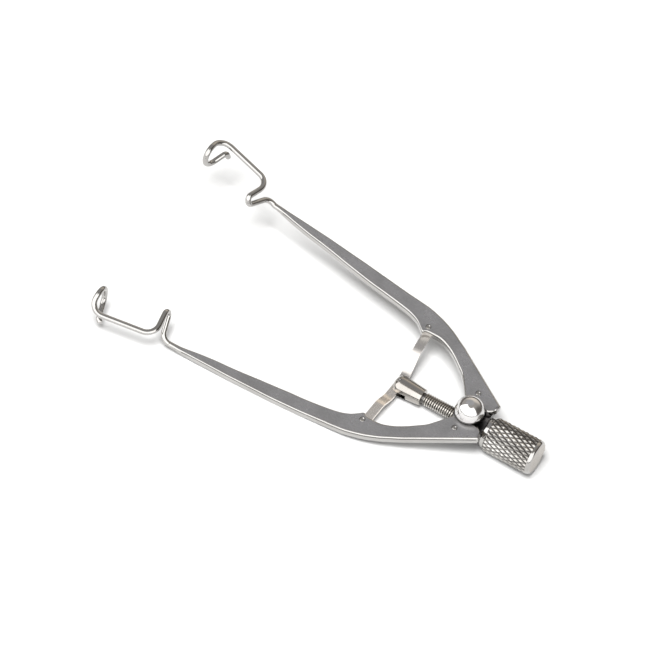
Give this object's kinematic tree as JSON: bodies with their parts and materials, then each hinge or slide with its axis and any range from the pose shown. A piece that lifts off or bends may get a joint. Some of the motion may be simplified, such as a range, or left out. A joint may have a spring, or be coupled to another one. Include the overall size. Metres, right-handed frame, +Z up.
{
  "type": "eye speculum",
  "caption": "Wire eyelid speculum: two pivoted arms with bent wire blades, drawn together by a knurled thumb nut, a threaded spindle and two links.",
  "frame": {"origin": "on the surface that the instrument lies on, below the centre of its bounding box", "axes": "+X forward from the thumb nut to the blades, +Y to the left arm, +Z up from the surface"},
  "size_m": [0.0834, 0.0438, 0.0153],
  "materials": {
    "satin_steel": "satin stainless steel with polished edges",
    "polished_steel": "bright polished stainless steel",
    "knurled_steel": "knurled stainless steel with polished bevels"
  },
  "bodies": {
    "hub": {"hub_block": "satin_steel", "dome": "polished_steel", "left_pivot_pin": "polished_steel", "right_pivot_pin": "polished_steel"},
    "nut": {"thumb_nut": "knurled_steel"},
    "spindle": {"spindle": "polished_steel", "clevis_pin": "polished_steel"},
    "left_arm": {"left_arm": "satin_steel", "left_link_rivet": "polished_steel"},
    "right_arm": {"right_arm": "satin_steel", "right_link_rivet": "polished_steel"},
    "left_link": {"left_link": "polished_steel"},
    "right_link": {"right_link": "polished_steel"}
  },
  "joints": [
    {"name": "nut_turn", "type": "hinge", "parent": "hub", "child": "nut", "pos_m": [-0.0308, -0.00156, 0.00329], "axis": [0.9975, -0.0073, -0.0698], "range_deg": [0, 4992]},
    {"name": "spindle_draw", "type": "slide", "parent": "hub", "child": "spindle", "axis": [0.9975, -0.0073, -0.0698], "range_m": [-0.00625, 0]},
    {"name": "left_arm_swing", "type": "hinge", "parent": "hub", "child": "left_arm", "pos_m": [-0.0264, 0.00293, 0.00408], "axis": [0.0698, 0.2052, 0.9762], "range_deg": [-12.51, 0]},
    {"name": "right_arm_swing", "type": "hinge", "parent": "hub", "child": "right_arm", "pos_m": [-0.02634, -0.00529, 0.0058], "axis": [0.0698, 0.2052, 0.9762], "range_deg": [0, 12.51]},
    {"name": "left_link_fold", "type": "hinge", "parent": "left_arm", "child": "left_link", "pos_m": [-0.01145, 0.00988, 0.00149], "axis": [0.0698, 0.2052, 0.9762], "range_deg": [-29.58, 0]},
    {"name": "right_link_fold", "type": "hinge", "parent": "right_arm", "child": "right_link", "pos_m": [-0.01128, -0.01249, 0.00618], "axis": [0.0698, 0.2052, 0.9762], "range_deg": [0, 29.58]}
  ],
  "couplings": [
    {"joint": "spindle_draw", "follows": "nut_turn", "m_per_rad": -0.00007162},
    {"joint": "left_arm_swing", "follows": "nut_turn", "ratio": -0.002504},
    {"joint": "right_arm_swing", "follows": "nut_turn", "ratio": 0.002504},
    {"joint": "left_link_fold", "follows": "nut_turn", "ratio": -0.005922},
    {"joint": "right_link_fold", "follows": "nut_turn", "ratio": 0.005922}
  ]
}
